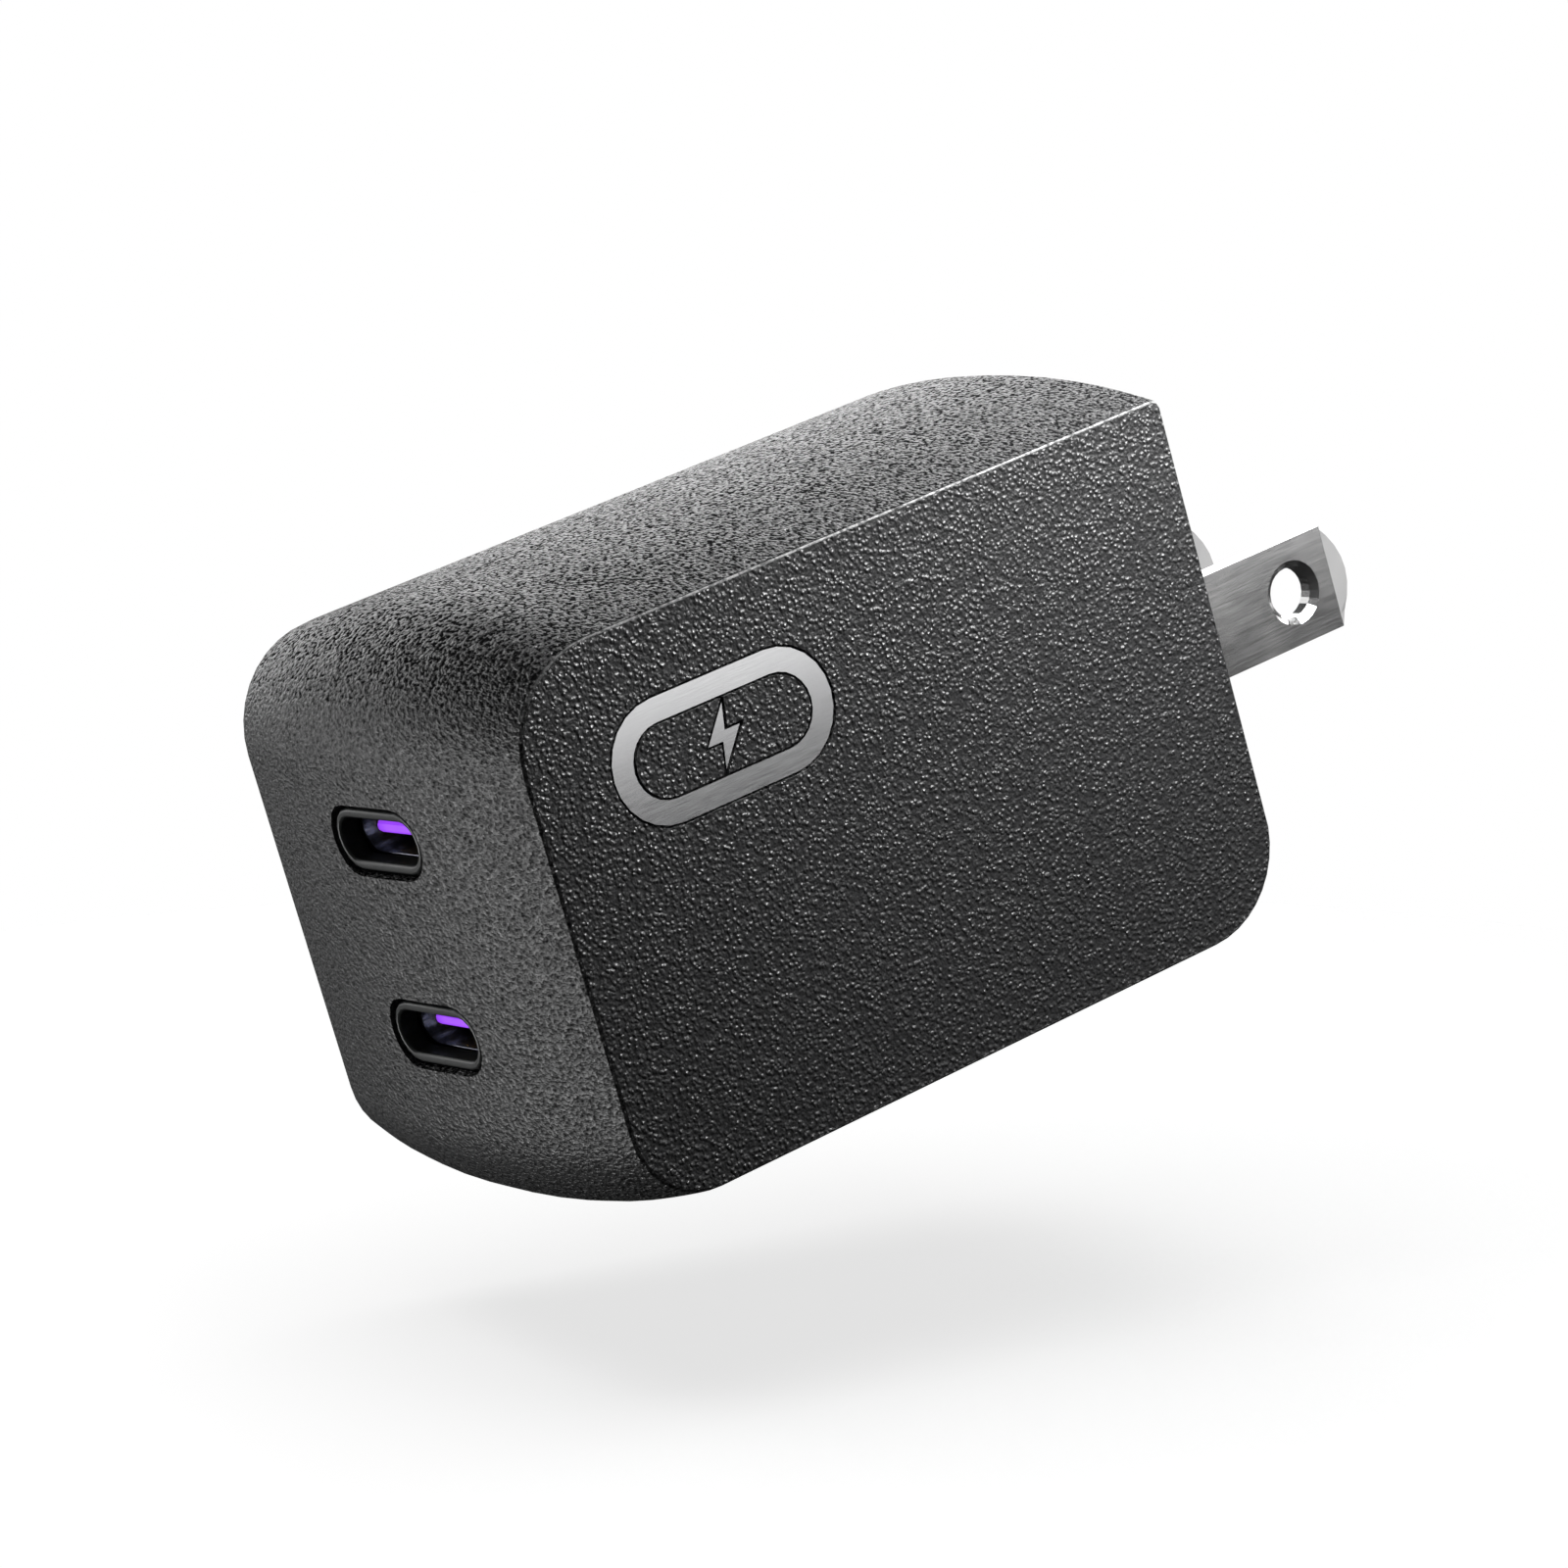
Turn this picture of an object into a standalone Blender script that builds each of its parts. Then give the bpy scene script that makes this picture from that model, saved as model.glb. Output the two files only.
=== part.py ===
"""A two-port USB-C wall charger with two flat blades that fold away, built as an assembly.

Every dimension below is in millimetres and becomes metres as each mesh is made.
The origin is the centre of the flat plug face, between the blades. +X points out of the plug
face, into the wall outlet. +Z is up, along the blades' width. The badge is on the -Y side.
"""

import math

import bmesh
import bpy
from mathutils import Matrix, Vector

MM = 0.001
GAP = 0.3

# Housing: a rounded outline in X and Z that swells a little between its two flat side faces.
LENGTH = 45.8
HEIGHT = 30.9
WIDTH = 30.9
ARCH = 1.75
ARCH_POWER = 2.2
FRONT_TOP_R = 5.9
FRONT_LOW_R = 4.5
REAR_LOW_R = 5.7
REAR_TOP_R = 0.4
SIDE_CHAMFER = 0.15
WALL = 1.8
REAR_WALL = 1.2
REAR_WALL_START = -10.8
COVER_T = 2.2
COVER_START = -9.0
CORNER_STEPS = 9
BEYOND = 8.0

# USB-C ports, one above the other, with their long axis along Y.
PORT_Z = 5.75
PORT_SLOT = (9.6, 4.2)
PORT_POCKET = (11.14, 5.36)
PORT_POCKET_FRONT = -46.85
BEZEL_FRONT = -LENGTH - ARCH + 0.25
BEZEL_REAR = -44.5
BEZEL_MOUTH = (8.3, 2.52)
BEZEL_OUTER_EDGE = 0.1
BEZEL_INNER_EDGE = 0.15
SHELL_OUTSIDE = (8.94, 3.16)
SHELL_INSIDE = (8.34, 2.56)
SHELL_FRONT = -45.8
SHELL_REAR = -38.3
TONGUE = (6.69, 0.7)
TONGUE_FRONT = -45.4
TONGUE_BASE_FRONT = -40.8
TONGUE_ROOT = 1.0
TONGUE_EDGE = 0.15

# Blades of a two-pin plug, and the hinge that folds them down into the cover.
BLADE_PITCH = 12.7
BLADE_W = 6.3
BLADE_T = 1.5
BLADE_Z = -0.6
BLADE_STRAIGHT = 15.2
BLADE_LENGTH = 16.64
BLADE_TIP_T = 0.8
BLADE_HOLE_X = 12.2
BLADE_HOLE_R = 1.5
BLADE_SINK_R = 1.95
BLADE_SINK_DEPTH = 0.35
PIVOT = Vector((-2.0, 0.0, 2.1))
SHAFT_R = 0.9
SHAFT_REACH = 11.6
SHAFT_FLAT = 0.7
HUB_R = 1.7
HUB_HALF_T = 1.9
TANG_TOP = -2.1
TANG_LOW = -5.5
TANG_REAR = -1.6
FOLDED_SLOT_X = -8.2
SCOOP_R = 5.7
SCOOP_DEPTH = 1.2
SCOOP_HALF_Y = 9.6
SCOOP_ANGLE = -50.0

# Plug holder: the bulkhead behind the folding blades, with the springs that it carries.
HOLDER_X = (-10.5, -9.3)
ARM_Y = (9.4, 11.2)
CONTACT_Y = (8.6, 9.0)
DETENT_HALF_Y = 2.4

# Boards and the parts on them.
BOARD_T = 1.2
MAIN_TOP = -11.0
MAIN_X = (-36.2, -11.2)
MAIN_HALF_Y = 12.4
PORT_BOARD_X = (-38.0, -36.8)
PART_BASE = MAIN_TOP + GAP

# Badge: a pill-shaped ring and a lightning bolt inside it, each let into a groove of its own.
BADGE_CENTRE = (-33.4, 7.5)
BADGE_SIZE = (14.6, 7.0)
BADGE_STROKE = 1.35
BOLT_TALL = 3.5
BOLT_WIDE = 2.3
BADGE_T = 0.6
BADGE_BELOW = 0.05
BADGE_GAP = 0.15


# --- Outlines -------------------------------------------------------------------------------


def arc(centre_u, centre_v, radius, start, end, steps):
    """Points along an arc from one angle to another, both ends included."""
    points = []
    for i in range(steps + 1):
        angle = start + (end - start) * i / steps
        points.append((centre_u + radius * math.cos(angle), centre_v + radius * math.sin(angle)))
    return points


def circle(radius, steps=24, centre=(0.0, 0.0)):
    return arc(centre[0], centre[1], radius, 0.0, 2 * math.pi, steps)[:-1]


def rounded(width, height, radius, steps=4, centre=(0.0, 0.0)):
    """A rectangle with round corners."""
    u, v = width / 2 - radius, height / 2 - radius
    points = []
    for corner, (su, sv) in enumerate(((1, 1), (-1, 1), (-1, -1), (1, -1))):
        start = corner * math.pi / 2
        points += arc(centre[0] + su * u, centre[1] + sv * v, radius, start, start + math.pi / 2, steps)
    return points


def pill(size, steps=8, centre=(0.0, 0.0)):
    """A slot outline: two half circles joined by straight edges."""
    radius = min(size) / 2
    reach = max(size) / 2 - radius
    right = arc(centre[0] + reach, centre[1], radius, -math.pi / 2, math.pi / 2, steps)
    left = arc(centre[0] - reach, centre[1], radius, math.pi / 2, 1.5 * math.pi, steps)
    return right + left


def rectangle(u, v):
    return [(u[0], v[0]), (u[1], v[0]), (u[1], v[1]), (u[0], v[1])]


def at_x(points, x):
    return [Vector((x, u, v)) for u, v in points]


def at_y(points, y):
    return [Vector((u, y, v)) for u, v in points]


def at_z(points, z):
    return [Vector((u, v, z)) for u, v in points]


# --- Meshes ---------------------------------------------------------------------------------


def skin(loops, wrap=False):
    """One closed body through a row of loops with equal point counts.

    The end loops are capped, or with wrap joined to each other to leave a way through.
    """
    bm = bmesh.new()
    rings = [[bm.verts.new(point) for point in loop] for loop in loops]
    pairs = list(zip(rings, rings[1:]))
    if wrap:
        pairs.append((rings[-1], rings[0]))
    made = []
    for near, far in pairs:
        for i in range(len(near)):
            j = (i + 1) % len(near)
            made.append(bm.faces.new((near[i], near[j], far[j], far[i])))
    if not wrap:
        made.append(bm.faces.new(rings[0]))
        made.append(bm.faces.new(rings[-1]))
    bmesh.ops.recalc_face_normals(bm, faces=made)
    return bm


def box(x, y, z):
    return skin([at_z(rectangle(x, y), z[0]), at_z(rectangle(x, y), z[1])])


def soft_box(x, y, z, radius):
    """A box with its upright edges and its top edge rounded off."""
    middle = (sum(x) / 2, sum(y) / 2)
    size = (x[1] - x[0], y[1] - y[0])
    edge = radius * 0.4
    full = rounded(size[0], size[1], radius, 3, middle)
    inner = rounded(size[0] - 2 * edge, size[1] - 2 * edge, radius - edge, 3, middle)
    return skin([at_z(full, z[0]), at_z(full, z[1] - edge), at_z(inner, z[1])])


def turned(stations, place, steps=24):
    """A turned body: stations are (distance along, radius), and place sets a circle at a distance."""
    return skin([place(circle(radius, steps), along) for along, radius in stations])


def make_object(name, bm, material, parent=None, sharp=30.0):
    """Makes the object from a mesh in millimetres. Under a parent, its origin is the parent's."""
    shift = parent.location / MM if parent else Vector()
    bmesh.ops.transform(bm, verts=bm.verts, matrix=Matrix.Scale(MM, 4) @ Matrix.Translation(-shift))
    mesh = bpy.data.meshes.new(name)
    bm.to_mesh(mesh)
    bm.free()
    mesh.shade_smooth()
    mesh.set_sharp_from_angle(angle=math.radians(sharp))
    if material:
        mesh.materials.append(material)
    obj = bpy.data.objects.new(name, mesh)
    obj.parent = parent
    bpy.context.scene.collection.objects.link(obj)
    return obj


def boolean(target, operation, name, bm):
    """Cuts, joins or trims the target with a helper body that stays out of the render."""
    helper = make_object(name, bm, None, target.parent)
    helper.hide_render = True
    helper.display_type = "WIRE"
    modifier = target.modifiers.new(name, "BOOLEAN")
    modifier.operation = operation
    modifier.object = helper
    modifier.solver = "EXACT"


def cut(target, name, bm):
    boolean(target, "DIFFERENCE", "cut_" + name, bm)


def join(target, name, bm):
    boolean(target, "UNION", "join_" + name, bm)


# --- Materials ------------------------------------------------------------------------------


def material(name, colour, roughness, metallic=0.0):
    made = bpy.data.materials.new(name)
    made.use_nodes = True
    shader = made.node_tree.nodes["Principled BSDF"]
    shader.inputs["Base Color"].default_value = (*colour, 1.0)
    shader.inputs["Roughness"].default_value = roughness
    shader.inputs["Metallic"].default_value = metallic
    made.diffuse_color = (*colour, 1.0)
    return made


def make_materials():
    """Each material by name: colour, roughness and metallic value."""
    looks = {
        "charcoal_plastic": ((0.030, 0.030, 0.032), 0.55, 0.0),
        "black_plastic": ((0.012, 0.012, 0.013), 0.45, 0.0),
        "holder_plastic": ((0.05, 0.05, 0.055), 0.5, 0.0),
        "badge_metal": ((0.60, 0.60, 0.62), 0.25, 1.0),
        "bezel_plastic": ((0.045, 0.047, 0.047), 0.35, 0.0),
        "stainless": ((0.62, 0.62, 0.65), 0.25, 1.0),
        "violet_plastic": ((0.36, 0.08, 0.90), 0.4, 0.0),
        "nickel_plate": ((0.72, 0.71, 0.69), 0.18, 1.0),
        "spring_bronze": ((0.70, 0.45, 0.25), 0.3, 1.0),
        "board_green": ((0.02, 0.16, 0.07), 0.45, 0.0),
        "ferrite": ((0.045, 0.045, 0.05), 0.7, 0.0),
        "bobbin_plastic": ((0.08, 0.08, 0.08), 0.5, 0.0),
        "winding_tape": ((0.75, 0.55, 0.05), 0.4, 0.0),
        "copper_wire": ((0.75, 0.32, 0.14), 0.3, 1.0),
        "capacitor_sleeve": ((0.05, 0.06, 0.09), 0.35, 0.0),
        "film_box": ((0.70, 0.60, 0.10), 0.4, 0.0),
        "disc_blue": ((0.05, 0.15, 0.50), 0.45, 0.0),
        "fuse_sleeve": ((0.35, 0.28, 0.16), 0.4, 0.0),
        "chip_epoxy": ((0.02, 0.02, 0.022), 0.55, 0.0),
        "polymer_can": ((0.70, 0.70, 0.72), 0.3, 1.0),
        "heat_plate": ((0.75, 0.75, 0.76), 0.35, 1.0),
        "sheet_film": ((0.80, 0.78, 0.70), 0.5, 0.0),
    }
    return {name: material(name, *look) for name, look in looks.items()}


# --- Housing --------------------------------------------------------------------------------


def swell(y):
    """How far the band between the side faces stands proud of them at this Y."""
    return ARCH * (1 - abs(2 * y / WIDTH) ** ARCH_POWER)


def band_outline(grow, back_x):
    """The housing's outline in X and Z, with all but its plug face moved outward by grow."""
    front = -LENGTH - grow
    top = HEIGHT / 2 + grow
    front_top = FRONT_TOP_R + grow
    front_low = FRONT_LOW_R + grow
    rear_low = REAR_LOW_R + grow
    meet = math.acos(min(1.0, (back_x + REAR_LOW_R) / rear_low))
    points = arc(front + front_top, top - front_top, front_top, math.pi, math.pi / 2, CORNER_STEPS)
    points += arc(back_x - REAR_TOP_R, top - REAR_TOP_R, REAR_TOP_R, math.pi / 2, 0.0, 2)
    points += arc(-REAR_LOW_R, REAR_LOW_R - HEIGHT / 2, rear_low, -meet, -math.pi / 2, CORNER_STEPS)
    points += arc(front + front_low, front_low - top, front_low, -math.pi / 2, -math.pi, CORNER_STEPS)
    return points


def side_steps(half_width, count=8):
    """Places across the housing, from -Y to +Y, closer together towards the side faces."""
    steps = [half_width * math.sin(math.pi / 2 * i / count) for i in range(count + 1)]
    return [-y for y in reversed(steps[1:])] + steps


def housing_body(inset, back_x):
    """The housing's outer shape, or with an inset the space that is left inside it."""
    ys = side_steps(WIDTH / 2 - inset)
    return skin([at_y(band_outline(swell(y) - inset, back_x), y) for y in ys])


def outer_body():
    """The housing's outer shape with its side faces' edges just broken."""
    ys = side_steps(WIDTH / 2 - SIDE_CHAMFER)
    loops = [at_y(band_outline(swell(y), 0.0), y) for y in ys]
    for y in (-WIDTH / 2, WIDTH / 2):
        loops.insert(0 if y < 0 else len(loops), at_y(band_outline(-SIDE_CHAMFER, 0.0), y))
    return skin(loops)


def cross_block(inset, x, low=None):
    """A block right across the housing between two X places, under the arch of its top."""
    loops = []
    for y in side_steps(WIDTH / 2 - inset):
        top = HEIGHT / 2 + swell(y) - inset
        loops.append(at_y(rectangle(x, (-top if low is None else low, top)), y))
    return skin(loops)


def case_shell(mats):
    case = make_object("case_shell", outer_body(), mats["charcoal_plastic"])
    cut(case, "cavity", housing_body(WALL, -WALL))
    cut(case, "rear_mouth", cross_block(REAR_WALL, (REAR_WALL_START, BEYOND)))
    half = WIDTH / 2 - REAR_WALL - 0.05
    cut(case, "rear_low_mouth", box((COVER_START - GAP, BEYOND), (-half, half), (-HEIGHT, -REAR_LOW_R)))
    for name, z in (("upper", PORT_Z), ("lower", -PORT_Z)):
        outline = pill(PORT_SLOT, centre=(0.0, z))
        port = skin([at_x(outline, -LENGTH - BEYOND), at_x(outline, -LENGTH + WALL)])
        cut(case, name + "_port_slot", port)
        outline = pill(PORT_POCKET, centre=(0.0, z))
        pocket = skin([at_x(outline, PORT_POCKET_FRONT), at_x(outline, -LENGTH + WALL)])
        cut(case, name + "_port_pocket", pocket)
    floor_y = -WIDTH / 2 + BADGE_BELOW + BADGE_T + BADGE_GAP
    cut(case, "badge_groove", badge_ring(BADGE_GAP, (-WIDTH, floor_y)))
    bolt = grown(bolt_outline(), BADGE_GAP)
    cut(case, "bolt_groove", skin([at_y(bolt, -WIDTH), at_y(bolt, floor_y)]))
    return case


def finger_scoop():
    """A hollow along the rounded corner, so that a fingertip can catch the folded blades."""
    angle = math.radians(SCOOP_ANGLE)
    reach = REAR_LOW_R + swell(BLADE_PITCH / 2) + SCOOP_R - SCOOP_DEPTH
    centre = (reach * math.cos(angle) - REAR_LOW_R, reach * math.sin(angle) + REAR_LOW_R - HEIGHT / 2)
    outline = circle(SCOOP_R, 32, centre)
    return skin([at_y(outline, -SCOOP_HALF_Y), at_y(outline, SCOOP_HALF_Y)])


def back_cover(mats):
    """The plug face and the rounded corner under it, with a skirt that slides into the case."""
    cover = make_object("back_cover", outer_body(), mats["charcoal_plastic"])
    rear = cross_block(REAR_WALL + GAP, (COVER_START, BEYOND), low=-HEIGHT)
    boolean(cover, "INTERSECT", "trim_cover_edge", rear)
    cut(cover, "cover_inside", housing_body(COVER_T, -COVER_T))
    cut(cover, "finger_scoop", finger_scoop())
    groove = turned([(-SHAFT_REACH - GAP, SHAFT_R + GAP), (SHAFT_REACH + GAP, SHAFT_R + GAP)], at_pivot)
    cut(cover, "shaft_groove", groove)
    for name, side in (("near", -1), ("far", 1)):
        y = side * BLADE_PITCH / 2
        half = BLADE_T / 2 + GAP
        slot = box((FOLDED_SLOT_X, BEYOND), (y - half, y + half), (-HEIGHT, BLADE_Z))
        cut(cover, name + "_blade_slot", slot)
        half = HUB_HALF_T + GAP
        mouth = box((-COVER_T - 1.0, BEYOND), (y - half, y + half), (-5.0, 4.4))
        cut(cover, name + "_hub_mouth", mouth)
    return cover


def grown(outline, by):
    """A closed outline moved outward, each side parallel to itself."""
    points = [Vector(point) for point in outline]
    pairs = list(zip(points, points[1:] + points[:1]))
    turning = 1.0 if sum(here.cross(there) for here, there in pairs) > 0 else -1.0
    sides = []
    for here, there in pairs:
        along = (there - here).normalized()
        out = Vector((along.y, -along.x)) * turning
        sides.append((here + out * by, along))
    corners = []
    for (here, along), (before, along_before) in zip(sides, sides[-1:] + sides[:-1]):
        turn = along_before.cross(along)
        corners.append(before + along_before * ((here - before).cross(along) / turn))
    return [tuple(corner) for corner in corners]


def badge_ring(gap, ys):
    """The badge's ring between two Y places, made wider by a gap on every side."""
    outside = pill([side + 2 * gap for side in BADGE_SIZE], 12, BADGE_CENTRE)
    inside = pill([side - 2 * BADGE_STROKE - 2 * gap for side in BADGE_SIZE], 12, BADGE_CENTRE)
    loops = [at_y(outside, ys[0]), at_y(outside, ys[1]), at_y(inside, ys[1]), at_y(inside, ys[0])]
    return skin(loops, wrap=True)


def bolt_outline():
    """A lightning bolt, the usual sign for charging."""
    shape = ((0.18, 0.5), (-0.5, -0.08), (-0.06, -0.08), (-0.18, -0.5), (0.5, 0.08), (0.06, 0.08))
    return [(BADGE_CENTRE[0] + u * BOLT_WIDE, BADGE_CENTRE[1] + v * BOLT_TALL) for u, v in shape]


def badge(mats):
    ys = (-WIDTH / 2 + BADGE_BELOW, -WIDTH / 2 + BADGE_BELOW + BADGE_T)
    make_object("badge_inlay", badge_ring(0.0, ys), mats["badge_metal"])
    bolt = bolt_outline()
    make_object("bolt_inlay", skin([at_y(bolt, ys[0]), at_y(bolt, ys[1])]), mats["badge_metal"])


# --- Ports ----------------------------------------------------------------------------------


def port_bezel(mats, name, z):
    """The ring in the port face. Its shoulder sits in a pocket behind the slot, round the shell."""
    nose = [side - 2 * GAP for side in PORT_SLOT]
    shoulder = [side - 2 * GAP for side in PORT_POCKET]
    seat = [side + 2 * GAP for side in SHELL_OUTSIDE]
    nose_edge = [side - 2 * BEZEL_OUTER_EDGE for side in nose]
    mouth_edge = [side + 2 * BEZEL_OUTER_EDGE for side in BEZEL_MOUTH]
    stations = (
        (nose, BEZEL_FRONT + BEZEL_OUTER_EDGE),
        (nose_edge, BEZEL_FRONT),
        (mouth_edge, BEZEL_FRONT),
        (BEZEL_MOUTH, BEZEL_FRONT + BEZEL_INNER_EDGE),
        (BEZEL_MOUTH, SHELL_FRONT - GAP),
        (seat, SHELL_FRONT - GAP),
        (seat, BEZEL_REAR),
        (shoulder, BEZEL_REAR),
        (shoulder, PORT_POCKET_FRONT + GAP),
        (nose, PORT_POCKET_FRONT + GAP),
    )
    loops = [at_x(pill(size, centre=(0.0, z)), x) for size, x in stations]
    return make_object(name + "_port_bezel", skin(loops, wrap=True), mats["bezel_plastic"])


def usb_shell(mats, name, z):
    outside = pill(SHELL_OUTSIDE, centre=(0.0, z))
    inside = pill(SHELL_INSIDE, centre=(0.0, z))
    loops = [
        at_x(outside, SHELL_FRONT),
        at_x(outside, SHELL_REAR),
        at_x(inside, SHELL_REAR),
        at_x(inside, SHELL_FRONT),
    ]
    return make_object(name + "_usb_shell", skin(loops, wrap=True), mats["stainless"])


def usb_tongue(mats, name, z):
    """The contact tongue and the block that it stands on, in one moulding."""
    base = pill([side - 2 * GAP for side in SHELL_INSIDE], 6, (0.0, z))
    body = skin([at_x(base, TONGUE_BASE_FRONT), at_x(base, SHELL_REAR)])
    tongue = make_object(name + "_usb_tongue", body, mats["violet_plastic"])
    blade = rounded(*TONGUE, 0.3, 3, (0.0, z))
    tip = rounded(TONGUE[0] - 2 * TONGUE_EDGE, TONGUE[1] - 2 * TONGUE_EDGE, 0.15, 3, (0.0, z))
    loops = [at_x(tip, TONGUE_FRONT), at_x(blade, TONGUE_FRONT + TONGUE_EDGE)]
    loops.append(at_x(blade, TONGUE_BASE_FRONT + TONGUE_ROOT))
    join(tongue, name + "_tongue_plate", skin(loops))
    return tongue


# --- Folding plug ---------------------------------------------------------------------------


def at_pivot(points, y):
    """A loop in the X-Z plane, centred on the hinge axis."""
    return [PIVOT + Vector((u, y, v)) for u, v in points]


def hinge_empty():
    """Marks the hinge axis, which runs along Y. The folding pieces hang from it."""
    empty = bpy.data.objects.new("blade_hinge", None)
    empty.location = PIVOT * MM
    bpy.context.scene.collection.objects.link(empty)
    return empty


def blade_outline(tip):
    """The blade in X and Z, from its tang round its square shoulder to a tip that bulges by tip."""
    low, high = BLADE_Z - BLADE_W / 2, BLADE_Z + BLADE_W / 2
    points = [
        (PIVOT.x + TANG_REAR, PIVOT.z + TANG_TOP),
        (PIVOT.x + TANG_REAR, PIVOT.z + TANG_LOW),
        (0.0, PIVOT.z + TANG_LOW),
        (0.0, low),
    ]
    for i in range(9):
        z = low + BLADE_W * i / 8
        bulge = tip * (1 - (2 * (z - BLADE_Z) / BLADE_W) ** 2)
        points.append((BLADE_STRAIGHT + bulge, z))
    return points + [(0.0, high), (0.0, PIVOT.z + TANG_TOP)]


def plug_blade(mats, name, y, hinge):
    """A flat blade with a bevelled tip and a countersunk hole."""
    face = blade_outline(0.0)
    rim = blade_outline(BLADE_LENGTH - BLADE_STRAIGHT)
    half, rim_half = BLADE_T / 2, BLADE_TIP_T / 2
    loops = [at_y(face, y - half), at_y(rim, y - rim_half), at_y(rim, y + rim_half), at_y(face, y + half)]
    blade = make_object(name + "_blade", skin(loops), mats["nickel_plate"], hinge)

    def place(points, along):
        return at_y([(BLADE_HOLE_X + u, BLADE_Z + v) for u, v in points], y + along)

    spread = BLADE_SINK_R + (BLADE_SINK_R - BLADE_HOLE_R)
    deep = half + BLADE_SINK_DEPTH
    shallow = half - BLADE_SINK_DEPTH
    stations = [(-deep, spread), (-shallow, BLADE_HOLE_R), (shallow, BLADE_HOLE_R), (deep, spread)]
    cut(blade, name + "_blade_hole", turned(stations, place))
    return blade


def hub_outline():
    """A round barrel on the axis, with a block under it that grips the blade's tang."""
    front, low, rear = 1.6, TANG_LOW - 1.1, TANG_REAR - 1.0
    block = [(front, -0.575), (front, low), (rear + 1.0, low), (rear, low + 1.2), (rear, -1.6)]
    barrel = arc(0.0, 0.0, HUB_R, math.pi * 1.02, -math.radians(19.5), 14)
    return barrel + block


def blade_hub(mats, name, y, hinge):
    outline = hub_outline()
    body = skin([at_pivot(outline, y - HUB_HALF_T), at_pivot(outline, y + HUB_HALF_T)])
    hub = make_object(name + "_blade_hub", body, mats["black_plastic"], hinge)
    x = PIVOT.x + TANG_REAR - GAP
    z = (PIVOT.z + TANG_LOW - GAP, PIVOT.z + TANG_TOP + GAP)
    half = BLADE_T / 2 + GAP
    cut(hub, name + "_tang_pocket", box((x, BEYOND), (y - half, y + half), z))
    hole = turned([(y - 3, SHAFT_R + GAP), (y + 3, SHAFT_R + GAP)], at_pivot)
    cut(hub, name + "_hub_hole", hole)
    return hub


def pivot_shaft(mats, hinge):
    """The steel shaft, with two flats at its middle that the detent leaf falls onto."""
    tip = SHAFT_R - 0.2
    stations = [(-SHAFT_REACH, tip), (-SHAFT_REACH + 0.2, SHAFT_R)]
    stations += [(SHAFT_REACH - 0.2, SHAFT_R), (SHAFT_REACH, tip)]
    shaft = make_object("pivot_shaft", turned(stations, at_pivot), mats["stainless"], hinge)
    far, reach = -3.0, 2.8
    x, z = PIVOT.x, PIVOT.z
    cut(shaft, "open_flat", box((x + far, x - SHAFT_FLAT), (-reach, reach), (z + far, z - far)))
    cut(shaft, "folded_flat", box((x + far, x - far), (-reach, reach), (z + far, z - SHAFT_FLAT)))
    return shaft


def detent_spring(mats):
    """A bent leaf that presses on the shaft's flats from behind."""
    rear, front, thick = HOLDER_X[1] + GAP, PIVOT.x - SHAFT_R - GAP, 0.35
    low, high = PIVOT.z - 4.2, PIVOT.z + 4.2
    outline = [
        (rear, low),
        (front, low),
        (front, high),
        (rear, high),
        (rear, high - thick),
        (front - thick, high - thick),
        (front - thick, low + thick),
        (rear, low + thick),
    ]
    body = skin([at_y(outline, -DETENT_HALF_Y), at_y(outline, DETENT_HALF_Y)])
    return make_object("detent_spring", body, mats["spring_bronze"])


def contact_spring(mats, name, side):
    """The flat contact that runs from beside a hub, through the bulkhead, down to the main board."""
    front, rear, leg = PIVOT.x - SHAFT_R - GAP, -13.6, -11.6
    low, high = PIVOT.z - 1.2, PIVOT.z + 1.2
    outline = [(front, low), (front, high), (rear, high), (rear, PART_BASE), (leg, PART_BASE), (leg, low)]
    ys = sorted(side * y for y in CONTACT_Y)
    body = skin([at_y(outline, ys[0]), at_y(outline, ys[1])])
    return make_object(name + "_contact_spring", body, mats["spring_bronze"])


def plug_holder(mats):
    """The bulkhead between the blades and the electronics. Two arms keep the shaft in its groove."""
    holder = make_object("plug_holder", cross_block(REAR_WALL + GAP, HOLDER_X), mats["holder_plastic"])
    z = (PIVOT.z - 2.2, PIVOT.z + 2.2)
    for name, side in (("near", -1), ("far", 1)):
        ys = sorted(side * y for y in ARM_Y)
        join(holder, name + "_arm", box((HOLDER_X[0] + 0.5, -COVER_T - GAP), ys, z))
        ys = sorted(side * y for y in (CONTACT_Y[0] - GAP, CONTACT_Y[1] + GAP))
        way = box((HOLDER_X[0] - 1, HOLDER_X[1] + 0.5), ys, (PIVOT.z - 1.5, PIVOT.z + 1.5))
        cut(holder, name + "_contact_way", way)
    seat = turned([(-SHAFT_REACH - 2, SHAFT_R + GAP), (SHAFT_REACH + 2, SHAFT_R + GAP)], at_pivot)
    cut(holder, "shaft_seat", seat)
    return holder


# --- Boards and parts -----------------------------------------------------------------------


def boards(mats):
    y = (-MAIN_HALF_Y, MAIN_HALF_Y)
    make_object("main_board", box(MAIN_X, y, (MAIN_TOP - BOARD_T, MAIN_TOP)), mats["board_green"])
    body = box(PORT_BOARD_X, (-11.5, 11.5), (MAIN_TOP - BOARD_T, 11.5))
    make_object("port_board", body, mats["board_green"])


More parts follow.
